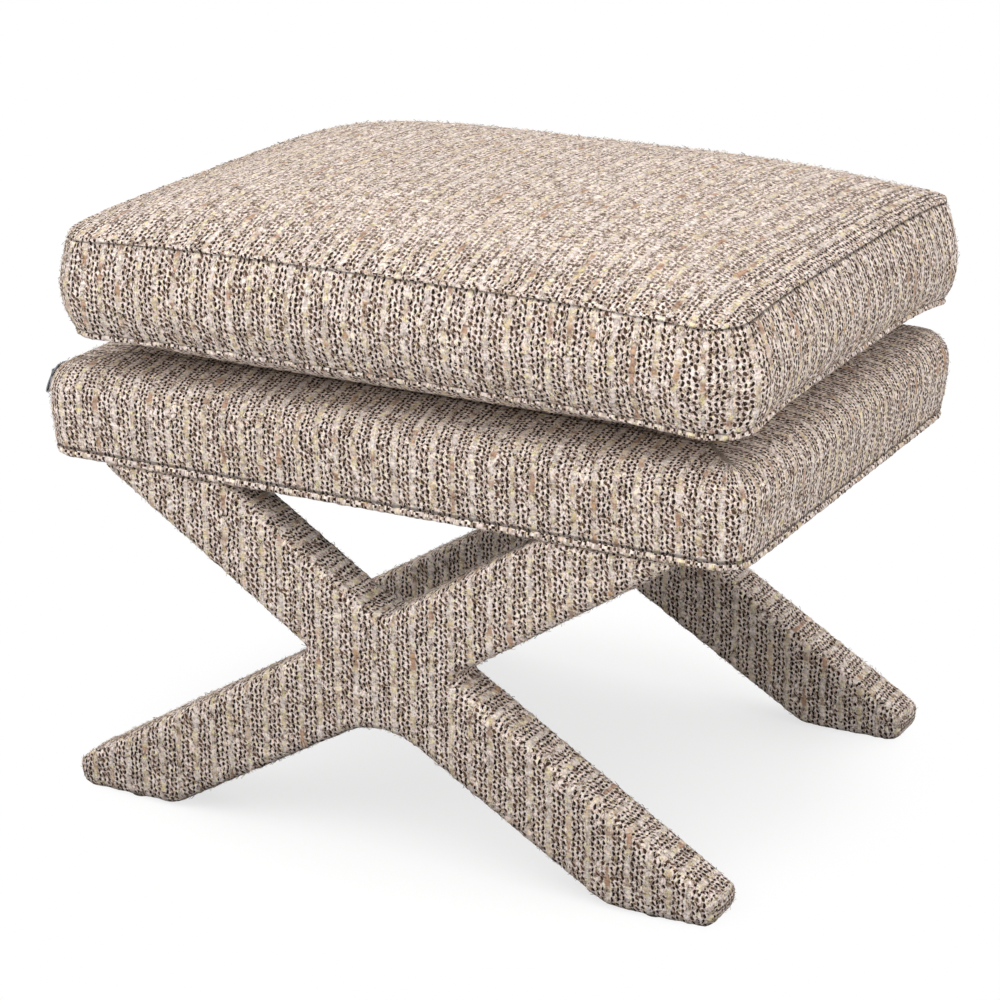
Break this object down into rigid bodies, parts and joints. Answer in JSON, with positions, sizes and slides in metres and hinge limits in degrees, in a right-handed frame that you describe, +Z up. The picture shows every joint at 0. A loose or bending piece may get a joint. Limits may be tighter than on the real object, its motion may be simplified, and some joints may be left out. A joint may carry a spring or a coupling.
{
  "type": "x frame stool",
  "caption": "Upholstered stool with a loose box cushion on a firm seat base, carried by rigid X-shaped frames along its long sides.",
  "frame": {"origin": "on the floor under the middle of the stool", "axes": "+X along the long side to the right, +Y to the rear, +Z up; the front X frame is on the -Y side"},
  "size_m": [0.618, 0.4807, 0.516],
  "materials": {
    "tweed": "nubby woven tweed",
    "welt": "tweed covered cord",
    "foam": "upholstery foam",
    "plywood": "bare birch plywood",
    "pine": "planed pine",
    "lining": "non-woven lining",
    "zinc_steel": "zinc plated",
    "nylon": "moulded nylon",
    "zip_tape": "woven tape",
    "slider_metal": "dull metal"
  },
  "bodies": {
    "frame": {"base_cover": "tweed", "base_foam": "foam", "base_welt": "welt", "centre_brace": "pine", "deck_board": "plywood", "dust_cover": "lining", "front_left_corner_block": "pine", "front_left_glide": "nylon", "front_left_inner_bolt": "zinc_steel", "front_left_inner_insert": "zinc_steel", "front_left_outer_bolt": "zinc_steel", "front_left_outer_insert": "zinc_steel", "front_mounting_board": "plywood", "front_rail": "pine", "front_right_corner_block": "pine", "front_right_glide": "nylon", "front_right_inner_bolt": "zinc_steel", "front_right_inner_insert": "zinc_steel", "front_right_outer_bolt": "zinc_steel", "front_right_outer_insert": "zinc_steel", "front_x_cover": "tweed", "front_x_inner_panel": "plywood", "front_x_outer_panel": "plywood", "front_x_wrap": "foam", "left_rail": "pine", "rear_left_corner_block": "pine", "rear_left_glide": "nylon", "rear_left_inner_bolt": "zinc_steel", "rear_left_inner_insert": "zinc_steel", "rear_left_outer_bolt": "zinc_steel", "rear_left_outer_insert": "zinc_steel", "rear_mounting_board": "plywood", "rear_rail": "pine", "rear_right_corner_block": "pine", "rear_right_glide": "nylon", "rear_right_inner_bolt": "zinc_steel", "rear_right_inner_insert": "zinc_steel", "rear_right_outer_bolt": "zinc_steel", "rear_right_outer_insert": "zinc_steel", "rear_x_cover": "tweed", "rear_x_inner_panel": "plywood", "rear_x_outer_panel": "plywood", "rear_x_wrap": "foam", "right_rail": "pine"},
    "cushion": {"cushion_cover": "tweed", "cushion_foam": "foam", "cushion_upper_welt": "welt", "cushion_lower_welt": "welt", "cushion_zip": "zip_tape"},
    "zip_slider": {"zip_slider": "slider_metal"}
  },
  "joints": [
    {"name": "cushion_lift", "type": "slide", "parent": "frame", "child": "cushion", "axis": [0, 0, 1], "range_m": [0, 0.18]},
    {"name": "zip_slide", "type": "slide", "parent": "cushion", "child": "zip_slider", "axis": [-1, 0, 0], "range_m": [0, 0.318]}
  ]
}
